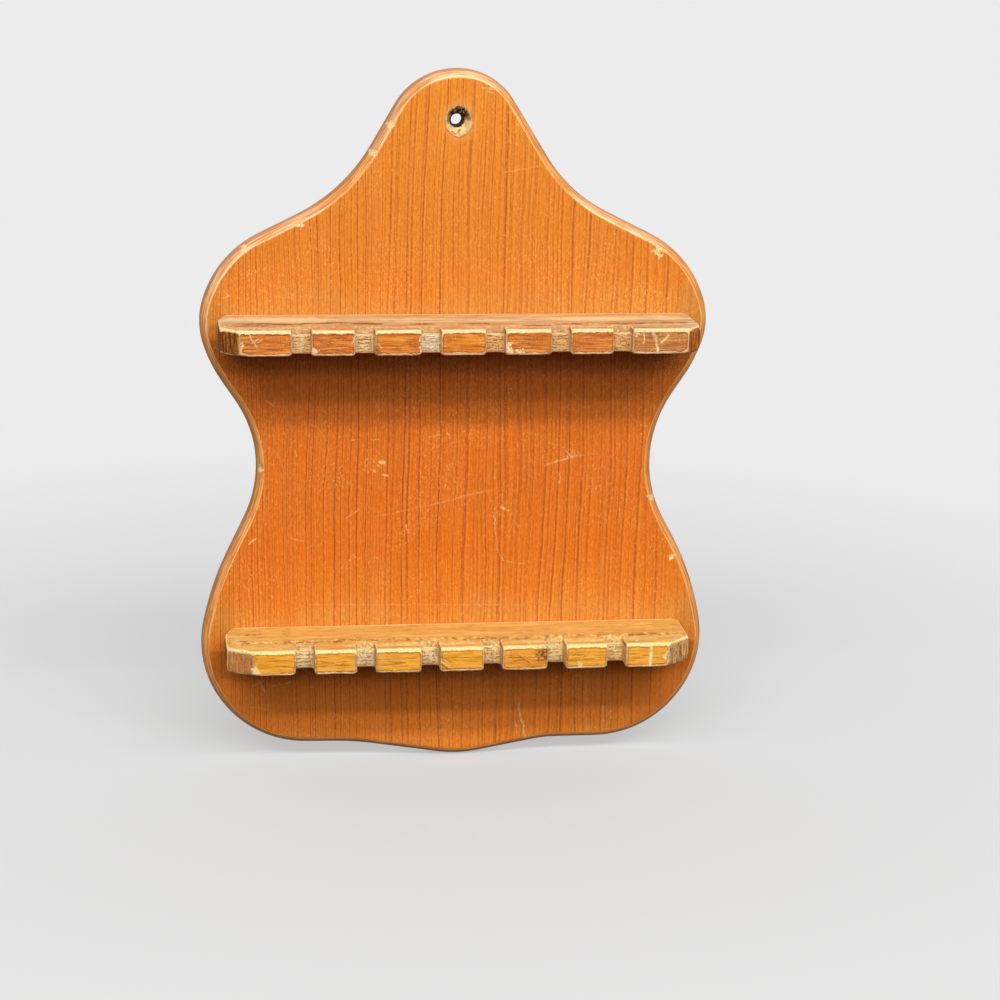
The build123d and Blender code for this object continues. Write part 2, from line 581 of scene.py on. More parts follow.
def line_mark(across, up, scratch, waver):
    """How strongly a straight scratch shows at a point: one on its line and none beside it."""
    x0, z0, x1, z1, width, strength = scratch
    run = Vector((x1 - x0, z1 - z0))
    along = (across - x0) * (run.x / run.length_squared) + (up - z0) * (run.y / run.length_squared)
    along = smallest(largest(along, 0), 1)
    dx = across - along.math("MULTIPLY_ADD", run.x, x0)
    dz = up - along.math("MULTIPLY_ADD", run.y, z0)
    away = (dx * dx + dz * dz).math("SQRT")
    return (away + waver).ramp(width * 1.25, width * 0.3, 0, strength)


def patch_mark(across, up, patch):
    """How far inside a peppered patch a point is: its full strength near the middle."""
    x0, z0, reach_x, reach_z, strength = patch
    dx = (across - x0) * (1 / reach_x)
    dz = (up - z0) * (1 / reach_z)
    away = (dx * dx + dz * dz).math("SQRT")
    return away.ramp(1, 0.35, 0, strength)


# The growth rings are close together on the left of the board and wide apart on the right
ring_spacing_middle = 4.4
ring_growth = 0.0058


# The stain's colour by height on the board, in mm. Partly real stain and partly painted light:
# darker bands below each rail are painted shadow in steps, paler bands just above each rail are
# painted bounce light, and the change from the yellower top to the redder middle is partly painted
# light.
stain_and_light_bands = (
    (-300, (0.95, 0.285, 0.032)),
    # From here up to -260: painted shadow of the lower rail, in steps
    (-279, (0.83, 0.212, 0.022)),
    (-268, (0.89, 0.232, 0.025)),
    (-260, (0.83, 0.214, 0.021)),
    (-246, (0.78, 0.222, 0.024)),
    # Painted bounce light just above the lower rail
    (-232, (0.68, 0.285, 0.049)),
    (-218, (0.78, 0.218, 0.018)),
    (-196, (0.82, 0.177, 0.0105)),
    (-152, (0.78, 0.166, 0.011)),
    # From here up to -104: painted shadow of the upper rail, in steps
    (-139, (0.68, 0.142, 0.0102)),
    (-124, (0.67, 0.152, 0.0133)),
    (-104, (0.58, 0.14, 0.0125)),
    # Painted bounce light just above the upper rail
    (-86, (0.63, 0.268, 0.049)),
    (-70, (0.76, 0.234, 0.023)),
    (20, (0.88, 0.288, 0.025)),
)


def board_finish():
    finish = Finish(bpy.data.materials.new("orange_stained_softwood"))
    place = finish.place()
    x, y, z = place.split()

    # Growth rings show as long upright lines that wander a little and come and go
    drift = place.stretched(0.03, 0, 0.008, 1.5).swing(9)
    wobble = place.stretched(0.22, 0, 0.14, 2, 0.6, 40).swing(0.9)
    ring_x = x + (drift + wobble)
    widening = (ring_x * ring_growth).math("EXPONENT")
    narrowing = (ring_x * -ring_growth).math("EXPONENT")
    ring_count = narrowing * (-1 / (ring_growth * ring_spacing_middle))
    ring_width = widening * ring_spacing_middle

    def ring_lines(per_ring, seed, soft_side, sharp_side, patchiness):
        """Dark late-wood lines, soft on one side and sharp on the other, each pale beside it."""
        offset, strength, width = (ring_count * per_ring).rings(seed)
        offset = offset * (ring_width * (1 / per_ring))
        own_width = width.ramp(0, 1, 0.7, 1.3) * ring_width
        widened = offset / (own_width * (1 / ring_spacing_middle))
        along = join(strength * 97, x * 0.02, z * 0.022)
        patchy = along.mottle(1, 2.5).ramp(0.32, 0.62, patchiness, 1)
        beaded = place.stretched(0.5, 0.5, 0.55, 2, 0.6).ramp(0.3, 0.55, 0.7, 1)
        own_strength = strength.ramp(0.05, 0.6, 0.3, 1) * patchy
        line = widened.ramp(-soft_side, -0.05) * widened.ramp(sharp_side, 0.08)
        beside = abs(widened - (sharp_side + 0.35)).ramp(0.5, 0.1)
        return line * (own_strength * beaded), beside * own_strength

    strong_lines, strong_pale = ring_lines(1.0, 60.0, 0.66, 0.40, 0.6)
    middle_lines, middle_pale = ring_lines(2.1, 300.0, 0.50, 0.34, 0.25)
    fine_lines, _ = ring_lines(4.3, 700.0, 0.30, 0.22, 0.1)
    lines = largest(strong_lines, largest(middle_lines * 0.58, fine_lines * 0.32))
    lines = lines * x.ramp(20, 95, 1, 0.72)
    pale_lines = largest(strong_pale, middle_pale * 0.6)
    fibres = place.stretched(3.4, 3.4, 0.06, 3, 0.6)
    coarse_fibres = place.stretched(1.1, 1.1, 0.02, 2, 0.5, 20)
    stripes = place.stretched(0.1, 0, 0.004, 1.5, 0.5, 7)
    cloud = place.mottle(0.018, 2)
    fine = place.mottle(1.1, 3, 0.65)
    pores = place.stretched(0.95, 0.95, 0.36, 3, 0.75, 33)

    # Painted shade: the board is darkened in the corner below each rail, where the rail's shadow
    # falls
    shade_under_upper = z.ramp(-119, -110) * z.ramp(-98, -99.5)
    shade_under_lower = z.ramp(-263.5, -256.5) * z.ramp(-245, -246.5)
    painted_shade = largest(shade_under_upper * 0.38, shade_under_lower * 0.34)

    # The stain: yellower at the top, redder across the middle; the darker bands below each rail are
    # painted shadow and the paler bands close above each rail are painted bounce light
    stain = coats(
        (z + cloud.swing(26)).bands(stain_and_light_bands),
        (stripes.ramp(0.35, 0.65, 0, 0.14), (0.7, 0.16, 0.012)),
        (coarse_fibres.ramp(0.42, 0.68, 0, 0.14), (0.66, 0.145, 0.01)),
        (fibres.ramp(0.45, 0.72, 0, 0.32), (0.56, 0.11, 0.006)),
        (fibres.ramp(0.45, 0.24, 0, 0.4), (0.92, 0.34, 0.055)),
        (pores.ramp(0.49, 0.36, 0, 0.36), (0.94, 0.34, 0.065)),
        (pores.ramp(0.51, 0.64, 0, 0.34), (0.56, 0.1, 0.006)),
        (pale_lines * 0.18, (0.93, 0.39, 0.075)),
        (lines, (0.54, 0.31, 0.08), "MULTIPLY"),
        # Painted shade below each rail
        (painted_shade, (0.11, 0.024, 0.0012)),
    )

    # Where the finish has lifted: flecks in patches, and short level ticks across the grain
    peppered = strongest([patch_mark(x, z, patch) for patch in flecked_patches])
    peppered = largest(peppered, place.mottle(0.05, 2).ramp(0.42, 0.66, 0.22, 0.6))
    on_face = y.ramp(-9, -9.3)
    peppered = peppered * on_face
    flecks = place.specks(1.1, 1.1, 0.7, 0.3, 0.4) * peppered
    dust = place.stretched(1.5, 1.5, 0.7, 3, 0.7, 11).ramp(0.51, 0.64) * peppered
    ticks = place.specks(0.3, 0.3, 1.5, 0.22, 0.36) * (peppered * 0.7)

    # Scratches and rubs on the face
    waver = (place.mottle(0.9, 2) - 0.42) * 0.7
    bent_x, _, bent_z = place.ragged(0.28, 2.2).split()
    marks = strongest([line_mark(bent_x, bent_z, scratch, waver) for scratch in scratches])
    broken = place.mottle(0.8, 3, 0.6).ramp(0.38, 0.52, 0.3, 1)
    broken = broken * place.mottle(0.34, 2).ramp(0.42, 0.54, 0.5, 1)
    marks = marks * on_face * broken
    face = coats(
        stain,
        (dust * 0.66, (0.94, 0.42, 0.105)),
        (ticks * 0.75, (0.93, 0.43, 0.12)),
        (flecks * 0.8, (0.96, 0.52, 0.17)),
        (marks, (0.96, 0.56, 0.2)),
    )

    # The rounded edge: thinly stained, rubbed along its length, and bare on the arris. Its pink
    # streaks are partly painted sheen, and the pale arris, widest on the top and shoulders and
    # fainter near the bottom, is partly painted highlight.
    attributes = ("inward", "around", "knocked", "rubbed_wide")
    inward, around, knock, rubbed_wide = map(finish.measured, attributes)
    rub = join(inward * 1.7, y * 1.5, around * 0.07).mottle(1, 3, 0.6)
    blotch = place.mottle(0.11, 3, 0.6)
    edge_stain = blend(rub.ramp(0.38, 0.6), (0.64, 0.215, 0.045), (0.93, 0.42, 0.125))
    edge_bare = blend(rub.ramp(0.39, 0.6), (0.66, 0.25, 0.095), (0.93, 0.52, 0.26))
    bareness = rubbed_wide + blotch.swing(1.1)
    edge = blend(bareness.ramp(0.15, 0.75), edge_stain, edge_bare)
    outer = (inward + rub.swing(1)).ramp(0.75, 0.2)
    edge = blend(outer * 0.5, edge, (0.34, 0.12, 0.03))
    edge_line = inward + rub.swing(0.8) + fine.swing(0.35)
    on_edge = edge_line.ramp(3.45, 3)
    arris_offset = abs(edge_line + rubbed_wide * 0.55 - 3.2)
    arris_width = blotch.ramp(0.35, 0.65, 0.2, 0.4) + rubbed_wide * 0.48
    arris_strength = largest(fine.ramp(0.28, 0.5, 0.15, 0.85), rubbed_wide)
    arris = (arris_offset / arris_width).ramp(1, 0.35) * smallest(arris_strength, 0.95)
    # Partly painted highlight: the pale arris fades towards the bottom, where the edge faces down
    arris = arris * z.ramp(-262, -285, 1, 0.45)
    arris_colour = blend(rubbed_wide.ramp(0.2, 0.85), (0.97, 0.47, 0.14), (0.97, 0.73, 0.38))
    # Painted sheen: pink streaks on the widely rubbed arris
    pink_sheen_streak = rub.ramp(0.52, 0.64) * rubbed_wide.ramp(0.2, 0.8, 0.2, 0.8)
    arris_colour = blend(pink_sheen_streak, arris_colour, (0.8, 0.4, 0.2))
    knock_edge = knock + place.mottle(0.42, 3, 0.6).swing(1.9)
    chipped = knock_edge.ramp(0.38, 0.5) * knock.ramp(0.04, 0.16)
    chip_shade = place.mottle(1.4, 2).ramp(0.5, 0.62, 0, 0.8)
    chip_colour = blend(chip_shade, (0.96, 0.68, 0.32), (0.62, 0.33, 0.12))

    # The torn mouth of the hanging hole: pale crushed wood, with dark splinters above the bore, and
    # the bore's wall painted near black as painted shade
    aside = x - 0.55
    squashed = z * 0.84
    reach = (aside * aside + squashed * squashed).math("SQRT")
    upright_splinters = place.stretched(1.3, 0.5, 0.26, 3, 0.6)
    flakes = place.ragged(0.9, 1.6).mottle(0.62, 3, 0.6)
    splinter_pull = (upright_splinters - 0.5) * z.ramp(-2, 3, 1, 5)
    tear = reach + fine.swing(1.4) + splinter_pull
    halo = tear.ramp(9.4, 6.6) * 0.42
    torn = tear.ramp(6.3, 5.9)
    upper_part = (z + flakes.swing(9)).ramp(-2.6, 0.4)
    splintered = upright_splinters.ramp(0.44, 0.5) * (z.ramp(0.2, 1.6) * abs(aside).ramp(4.8, 3.2))
    lip_line = abs(tear - 5.75).ramp(0.75, 0.2)
    bore = (x * x + z * z).math("SQRT") + fine.swing(1.2)
    torn_colour = coats(
        (0.93, 0.62, 0.27),
        (upper_part, (0.55, 0.29, 0.095)),
        (flakes.ramp(0.5, 0.6, 0, 0.8), (0.34, 0.15, 0.045)),
        (flakes.ramp(0.42, 0.34, 0, 0.8), (0.95, 0.72, 0.38)),
        (splintered, (0.05, 0.018, 0.006)),
        (lip_line * 0.8, (0.94, 0.58, 0.22)),
        # Painted shade: the bore's wall is near black
        (bore.ramp(3.7, 3.2), (0.035, 0.013, 0.005)),
    )

    # The back is dull, hardly stained, and keeps its saw marks
    sawn = place.stretched(0.35, 0, 1.6, 3, 0.6)
    on_back = y.ramp(-0.3, -0.05)
    back = coats(
        (0.56, 0.31, 0.13),
        (sawn.ramp(0.3, 0.7), (0.42, 0.2, 0.075)),
        (fibres.ramp(0.4, 0.7, 0, 0.4), (0.34, 0.15, 0.05)),
        (lines * 0.75, (0.24, 0.095, 0.03)),
        (cloud.ramp(0.42, 0.68, 0, 0.45), (0.6, 0.22, 0.06)),
    )

    board_colour = coats(
        face,
        (on_edge, edge),
        (arris, arris_colour),
        (chipped, chip_colour),
        (halo, (0.88, 0.34, 0.08)),
        (torn, torn_colour),
        (on_back, back),
    )
    worn = largest(largest(marks, on_back), largest(chipped, largest(torn, arris)))
    relief = fibres * 0.35 + lines * -0.5 + marks * -1.2 + torn * (fine * 6)
    relief = relief + on_back * (sawn * 1.5) + chipped * fine
    finish.give("Base Color", board_colour)
    finish.give("Roughness", (fibres + cloud * 0.5).ramp(0.4, 1.1, 0.5, 0.66) + worn * 0.25)
    finish.give("Specular IOR Level", 0.15)
    finish.give("Normal", relief.bump(0.00012))
    return finish.owner


dress(board, board_finish())
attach(board, "root")
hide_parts("back_board")

# Notched rails
# Two sticks of the same softwood, screwed and glued square to the board by their back edge.
# Their front corners are cut off, and six saw-cut notches leave seven teeth, bare on every arris.
notch_width = 8.6 * mm
notch_offsets = [offset * mm for offset in (-71.4, -43.6, -14.3, 14.3, 43.6, 71.4)]
panel_corner = 1.0 * mm
left_end_corner = 3.6 * mm
right_end_corner = 3.0 * mm
panel_top = 1.5 * mm
panel_bottom = 1.30 * mm
panel_side = 0.42 * mm
left_back_cut = (3.6 * mm, 10.0 * mm)
skin_spacing = 0.52 * mm
corner_rounds = 14
wear_depth = 0.34
wear_noticed = 0.2
notch_side_margin = 0.25 * mm
notch_wall_margin = 0.35 * mm
notch_fade = 0.3 * mm
cut_fade = 0.6 * mm


class Stick:
    """One rail's sizes, with the corners of its plan taken from its CAD box."""

    def __init__(self, node_name, notch_centre, notch_depth, left_cut, right_cut):
        self.name = node_name
        self.low, self.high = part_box(node_name)
        self.left, self.front, self.bottom = self.low
        self.right, self.back, self.top = self.high
        self.notches = [notch_centre * mm + offset for offset in notch_offsets]
        self.notch_wall = self.front + notch_depth * mm
        self.left_cut = (left_cut[0] * mm, left_cut[1] * mm)
        self.right_cut = (right_cut[0] * mm, right_cut[1] * mm)
        self.tooth_left = self.left + self.left_cut[0]
        self.tooth_right = self.right - self.right_cut[0]

    def front_line(self):
        """The plan of the front edge from left to right: cuts, teeth and notches."""
        half = notch_width / 2
        line = [(self.left, self.front + self.left_cut[1]), (self.tooth_left, self.front)]
        for x in self.notches:
            line += [(x - half, self.front), (x - half, self.notch_wall)]
            line += [(x + half, self.notch_wall), (x + half, self.front)]
        line += [(self.tooth_right, self.front), (self.right, self.front + self.right_cut[1])]
        return line

    def teeth(self):
        """Where each tooth starts and ends along the rail."""
        half = notch_width / 2
        starts = [self.tooth_left] + [x + half for x in self.notches]
        ends = [x - half for x in self.notches] + [self.tooth_right]
        return list(zip(starts, ends))


def distance_to_edge(places, start, end):
    start = np.array(start)
    run = np.array(end) - start
    share = np.clip(((places - start) @ run) / (run @ run), 0, 1)
    return np.linalg.norm(places - start - share[:, None] * run, axis=1)


def worn_share(places, stick, worn_corners):
    """How near each point is to the rail's worn arrises, from zero to one and over at corners."""
    line = stick.front_line()
    top_reach, bottom_reach, upright_reach, back_reach = 2.4 * mm, 1.7 * mm, 1.2 * mm, 1.5 * mm
    deep = stick.notch_wall - 0.01 * mm
    arrises = []
    for (x0, y0), (x1, y1) in zip(line, line[1:]):
        share = 0.5 if max(y0, y1) >= deep and x0 > stick.tooth_left else 1
        for z, reach in ((stick.top, top_reach), (stick.bottom, bottom_reach)):
            arrises.append(((x0, y0, z), (x1, y1, z), reach * share))
    for x, y in line:
        if y < deep:
            arrises.append(((x, y, stick.bottom), (x, y, stick.top), upright_reach))
    cut_run, cut_depth = left_back_cut
    cut_corner = (stick.left, stick.back - cut_depth, stick.top)
    front = stick.front + 8 * mm
    arrises += [
        ((stick.left + cut_run, stick.back, stick.top), cut_corner, back_reach),
        (cut_corner, (stick.left, front, stick.top), back_reach),
        ((stick.right, stick.back, stick.top), (stick.right, front, stick.top), back_reach),
    ]
    total = np.zeros(len(places))
    for start, end, reach in arrises:
        total += np.clip(1 - distance_to_edge(places, start, end) / reach, 0, 1) ** 3
    for corner, reach in worn_corners:
        away = np.linalg.norm(places - np.array(corner), axis=1)
        total += np.clip(1 - away / reach, 0, 1) ** 3
    return total ** (1 / 3)


def outside_panel(x, z, stick):
    """How far each point of the front is outside its tooth's stained panel, negative inside."""
    least = np.full(len(x), 20 * mm)
    low_z, high_z = stick.bottom + panel_bottom, stick.top - panel_top
    for start, end in stick.teeth():
        low_x, high_x = start + panel_side, end - panel_side
        middle_x, middle_z = (low_x + high_x) / 2, (low_z + high_z) / 2
        corner = np.full(len(x), panel_corner)
        if start == stick.tooth_left:
            corner[(x < middle_x) & (z < middle_z)] = left_end_corner
        if end == stick.tooth_right:
            corner[(x > middle_x) & (z < middle_z)] = right_end_corner
        out_x = np.abs(x - middle_x) - (high_x - low_x) / 2 + corner
        out_z = np.abs(z - middle_z) - (high_z - low_z) / 2 + corner
        beyond = np.hypot(np.maximum(out_x, 0), np.maximum(out_z, 0))
        least = np.minimum(least, beyond + np.minimum(np.maximum(out_x, out_z), 0) - corner)
    return least


def relax(bm, verts, rounds):
    """Smooths some points towards their neighbours, a number of times over."""
    for _ in range(rounds):
        bmesh.ops.smooth_vert(
            bm, verts=verts, factor=0.5, use_axis_x=True, use_axis_y=True, use_axis_z=True
        )


def worn_rail(name, stick, tooth_tones, notch_tones, worn_corners):
    """The rail's solid remade as an even fine skin, then worn unevenly along its arrises."""
    bm = bmesh.new()
    bm.from_mesh(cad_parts[stick.name].data)
    bmesh.ops.remove_doubles(bm, verts=bm.verts[:], dist=same_place)
    rail = new_piece(name, bm)
    skin = rail.modifiers.new("even_skin", "REMESH")
    skin.mode = "VOXEL"
    skin.voxel_size = skin_spacing
    mesh = finished(rail)

    def read(layer, field):
        values = np.zeros(len(mesh.vertices) * 3)
        layer.foreach_get(field, values)
        return values.reshape(-1, 3)

    worn = worn_share(read(mesh.vertices, "co"), stick, worn_corners)
    bm = bmesh.new()
    bm.from_mesh(mesh)
    bm.verts.ensure_lookup_table()
    for least_worn, rounds in ((0.25, 2), (0.45, 4), (1.02, 10)):
        relax(bm, [v for v in bm.verts if worn[v.index] > least_worn], rounds)
    for corner, reach in worn_corners:
        near_corner = [v for v in bm.verts if (v.co - Vector(corner)).length < reach]
        relax(bm, near_corner, corner_rounds)
    bm.to_mesh(mesh)
    bm.free()
    places = read(mesh.vertices, "co")
    normals = read(mesh.vertex_normals, "vector")

    x, y, z = places.T
    in_notch = np.zeros(len(x))
    tone = np.zeros(len(x))
    for (start, end), tooth_tone in zip(stick.teeth(), tooth_tones):
        tone[x > start - notch_width / 2] = tooth_tone
    half = notch_width / 2
    for centre, notch_tone in zip(stick.notches, notch_tones):
        beside = half + notch_side_margin - np.abs(x - centre)
        before = stick.notch_wall + notch_wall_margin - y
        here = np.clip(np.minimum(beside, before) / notch_fade, 0, 1)
        in_notch = np.maximum(in_notch, here)
        tone[here > 0] = notch_tone
    cut_end = np.zeros(len(x))
    for x_end, run, depth, side in (
        (stick.left, *stick.left_cut, -1),
        (stick.right, *stick.right_cut, 1),
    ):
        facing = (normals[:, 0] * side * depth - normals[:, 1] * run) / math.hypot(run, depth)
        beyond = (x - (x_end - side * run)) * side
        near = np.clip(1 + beyond / cut_fade, 0, 1) * np.clip((facing - 0.80) / 0.15, 0, 1)
        cut_end = np.maximum(cut_end, near)
        end_face = np.clip((normals[:, 0] * side - 0.8) / 0.15, 0, 1)
        cut_end = np.maximum(cut_end, end_face * (np.abs(x - x_end) < 1.0 * mm))
    panel = outside_panel(x, z, stick)
    for i in np.flatnonzero(worn > wear_noticed):
        place = Vector(places[i])
        bite = noise.noise(place * 180) * 0.9 + noise.noise(place * 520) * 0.5
        places[i] -= normals[i] * (max(bite, -0.15) * wear_depth * mm * min(worn[i], 1.0))
    places = np.clip(places, np.array(stick.low), np.array(stick.high))
    mesh.vertices.foreach_set("co", places.ravel())
    mesh.update()
    write_attributes(
        mesh, worn=worn, in_notch=in_notch, cut_end=cut_end, outside_panel=panel / mm, tone=tone
    )
    mesh.shade_smooth()
    return rail


def rail_finish(name, stick, colours, saw_rows, marks):
    finish = Finish(bpy.data.materials.new(name))
    place = finish.place()
    x, y, z = place.split()
    attributes = ("worn", "in_notch", "cut_end", "outside_panel", "tone")
    worn, in_notch, cut_end, outside, tone = map(finish.measured, attributes)
    fibres = place.stretched(0.12, 1.1, 1.1, 3, 0.65)
    coarse_fibres = place.stretched(0.05, 0.45, 0.5, 2)
    fine = place.mottle(1, 3, 0.65)
    grit = place.mottle(2.4, 2, 0.6)
    blotch = place.mottle(0.12, 3, 0.6)
    curl = place.mottle(0.42, 3, 0.65)
    facing_x, facing_y, up = finish.amount("ShaderNodeNewGeometry", output="Normal").split()
    top_mm, bottom_mm = stick.top / mm, stick.bottom / mm

    # Growth rings run along the stick, as level lines that bend a little and break off
    level = z + y * 0.55 + place.stretched(0.06, 0.2, 0.25, 2.5).swing(5)
    offset, strength, _ = (level * 0.62).rings(40)
    ring_line = abs(offset).ramp(0.28, 0.06) * strength.ramp(0.2, 0.9, 0.2, 1)
    ring_line = ring_line * place.stretched(0.2, 0.5, 0.6, 2.5).ramp(0.42, 0.56)

    # Tooth faces: stained, with dark grain lines along the rail
    grey_stain, red_stain, yellow_stain = colours.stains
    grain = colours.grain
    pale_specks = grit.ramp(0.58, 0.66) * blotch.ramp(0.35, 0.6, 0.15, 0.7)
    stain = coats(
        grey_stain,
        (tone.ramp(-0.6, 0), red_stain),
        (tone.ramp(0, 1), yellow_stain),
        (coarse_fibres.ramp(0.44, 0.6, 0, 0.55 * grain), (0.68, 0.52, 0.42), "MULTIPLY"),
        (coarse_fibres.ramp(0.46, 0.34, 0, 0.45), (0.94, 0.42, 0.1)),
        (fibres.ramp(0.48, 0.62, 0, 0.75 * grain), (0.58, 0.44, 0.34), "MULTIPLY"),
        (fibres.ramp(0.46, 0.34, 0, 0.35), (0.96, 0.48, 0.14)),
        (ring_line * (0.8 * grain), (0.46, 0.3, 0.22), "MULTIPLY"),
        (pale_specks, (0.92, 0.52, 0.22)),
    )

    # Top: pale streaks behind, a ragged dark line where the spoons hang, short strokes in front
    out = stick.back / mm - y
    ragged = out + place.stretched(0.03, 0.04, 0, 2, 0.5, 30).swing(8) + curl.swing(3)
    long_streaks = place.stretched(0.03, 0.24, 0, 3, 0.6, 15)
    short_streaks = place.stretched(0.15, 0.34, 0, 3, 0.65, 70)
    streak_noise = short_streaks.swing(2.4)
    pale_patch = strongest([patch_mark(x, out, patch) for patch in marks.top_pale])
    pale_patch = (pale_patch + streak_noise).ramp(0.28, 0.8)
    dark_patch = strongest([patch_mark(x, ragged, patch) for patch in marks.top_dark])
    dark_patch = (dark_patch - streak_noise).ramp(0.38, 0.66)
    fleck_line, fleck_pale, fleck_dark = colours.flecks
    fleck = place.stretched(0.34, 0.2, 0, 3, 0.7, 44)
    fleck_band = abs(ragged - 23.5).ramp(4.2, 1.6) * fleck_line * out.ramp(27, 25.6)
    dark_fleck = fleck.ramp(0.54, 0.62) * fleck_band
    in_front = ragged.ramp(23, 25)
    wavy = abs(place.stretched(0.2, 0.13, 0, 2, 0.5, 5) - 0.5).ramp(0.055, 0.02) * in_front
    chipped_top = place.specks(0.4, 0.28, 0.9, 0.45, 0.45) * in_front
    behind = (out + curl.swing(2)).ramp(2.4, 1)
    front_line = abs(out + curl.swing(1.6) - 33.8).ramp(1.1, 0.4)
    front_line = front_line * blotch.ramp(0.36, 0.5, 0.35, 0.9)
    top_dark, top_pale = colours.top_streaks
    top = coats(
        ragged.bands(colours.top_bands),
        (long_streaks.ramp(0.5, 0.62, 0, 0.65), top_dark),
        (long_streaks.ramp(0.48, 0.36, 0, 0.75), top_pale),
        (short_streaks.ramp(0.52, 0.66, 0, 0.7), (0.74, 0.56, 0.42), "MULTIPLY"),
        (pale_patch * fibres.ramp(0.36, 0.56, 0.95, 0.62), colours.arris),
        (dark_patch * 0.9, (0.29, 0.095, 0.025)),
        (fleck.ramp(0.47, 0.39) * fleck_band, fleck_pale),
        (dark_fleck, fleck_dark),
        (wavy * (0.7 - 0.4 * fleck_line), colours.strokes),
        (chipped_top * 0.7, colours.arris),
        (behind * 0.7, (0.94, 0.62, 0.27)),
        (front_line * (0.8 - 0.6 * fleck_line), (0.36, 0.12, 0.025)),
    )

    # The front of each tooth: a stained panel inside a thin ragged margin that is rubbed bare; the
    # cream along the top of the margin is partly painted highlight
    in_front_face = out.ramp(34.6, 35.4) * facing_y.ramp(-0.2, -0.5)
    panel_edge = outside + fine.swing(0.8) + curl.swing(1.7) + blotch.swing(0.9)
    margin = panel_edge.ramp(-0.1, 0.2) * in_front_face
    panel_rim = abs(panel_edge + 0.3).ramp(0.42, 0.1) * in_front_face
    margin_colour = coats(
        (0.93, 0.56, 0.27),
        # Partly painted highlight: cream along the top arris, on bare wood
        (z.ramp(top_mm - 2.6, top_mm - 1.4), colours.arris),
        (z.ramp(bottom_mm + 2.2, bottom_mm + 1), (0.98, 0.66, 0.36)),
        (fine.ramp(0.54, 0.66, 0, 0.55), (0.74, 0.34, 0.12)),
    )

    # Cut corners: end grain that drank the stain, with upright streaks and pale flakes
    upright = place.stretched(1.1, 1.1, 0.14, 3, 0.65)
    cut_share = x.ramp(-20, 20)
    corner_light = blend(cut_share, colours.left_cut[0], colours.right_cut[0])
    corner_dark = blend(cut_share, colours.left_cut[1], colours.right_cut[1])
    needed = cut_share.ramp(0, 1, colours.left_cut[2], colours.right_cut[2])
    needed = needed - z.ramp(top_mm - 4.5, top_mm - 0.5, 0, 0.14)
    flaked = (place.mottle(0.8, 3, 0.65) - needed).ramp(0, 0.05)
    corner = coats(
        corner_light,
        (upright.ramp(0.4, 0.58), corner_dark),
        (place.mottle(0.5, 3, 0.6).ramp(0.52, 0.68, 0, 0.6), corner_dark),
        (flaked * 0.75, (0.9, 0.52, 0.22)),
        (abs(facing_x).ramp(0.8, 0.93), (0.22, 0.06, 0.012)),
    )

    # Notches: bare sawn wood, hatched by the saw's teeth in two or three upright columns
    row_spacing, column_spacing = saw_rows
    rows = ((z + place.mottle(0.35, 2).swing(3)) * (math.tau / row_spacing)).math("SINE")
    across = x + place.mottle(0.22, 2).swing(3.2) + y
    columns = (across * (math.tau / column_spacing)).math("SINE")
    hatch = place.stretched(0.55, 0.55, 0.95, 3, 0.7, 90).swing(4.6)
    strokes = (rows * 0.55 + hatch).ramp(0.05, 0.65) * columns.ramp(-0.85, -0.3, 0.35, 1)
    column_line = columns.ramp(-0.7, -0.94) * curl.ramp(0.4, 0.56)
    glints = grit.ramp(0.56, 0.66) * (0.6 - strokes * 0.5)
    from_top = top_mm - z + curl.swing(1.8)
    arches = abs(place.mottle(0.36, 2) - 0.5).ramp(0.04, 0.012)
    lip_pale, lip_dark = colours.lips
    lip_colour = coats(
        lip_pale,
        (curl.ramp(0.42, 0.6, 0, 0.8), lip_dark),
        (strokes * 0.45, lip_dark),
        (arches * 0.8, (0.4, 0.17, 0.05)),
    )
    notch_wall = coats(
        colours.bare,
        (tone.ramp(0, 1), (0.95, 0.82, 0.54)),
        (curl.ramp(0.46, 0.62, 0, 0.45), (0.74, 0.38, 0.14)),
        (strokes * tone.ramp(0.3, 1, colours.hatch, 0.5), (0.36, 0.165, 0.045)),
        (column_line * 0.6, (0.32, 0.16, 0.06)),
        (glints, (0.96, 0.8, 0.52)),
        # Painted shade: the notch's side walls that face left get a darker orange than the pale
        # bare wall
        (facing_x.ramp(-0.45, -0.8) * 0.85, (0.86, 0.47, 0.17)),
        (abs(from_top - 3.1).ramp(0.75, 0.25) * 0.8, colours.arris),
        (from_top.ramp(2.7, 2.2), lip_colour),
        (z.ramp(bottom_mm + 1.3, bottom_mm + 0.7) * 0.8, (0.88, 0.5, 0.27)),
    )
    lip_front = (stick.back - stick.notch_wall) / mm
    lip = up.ramp(0.3, 0.45) * up.ramp(0.88, 0.76) * facing_y.ramp(-0.4, -0.55)
    lip = lip * out.ramp(lip_front + 0.9, lip_front + 0.3)

    # Arrises rubbed down to bare wood
    ragged_wear = worn + blotch.swing(0.5) + curl.swing(0.55) + fine.swing(0.3)
    rubbed = ragged_wear.ramp(0.46, 0.58) * (1 - in_front_face * 0.8) * up.ramp(-0.7, -0.2)
    pale = blend(fine.ramp(0.5, 0.66), colours.arris, (0.86, 0.55, 0.24))
    # Painted shade: faces that look down, outside the notches, are darkened to a deep brown
    shaded_underside = up.ramp(-0.45, -0.8) * (1 - in_notch)

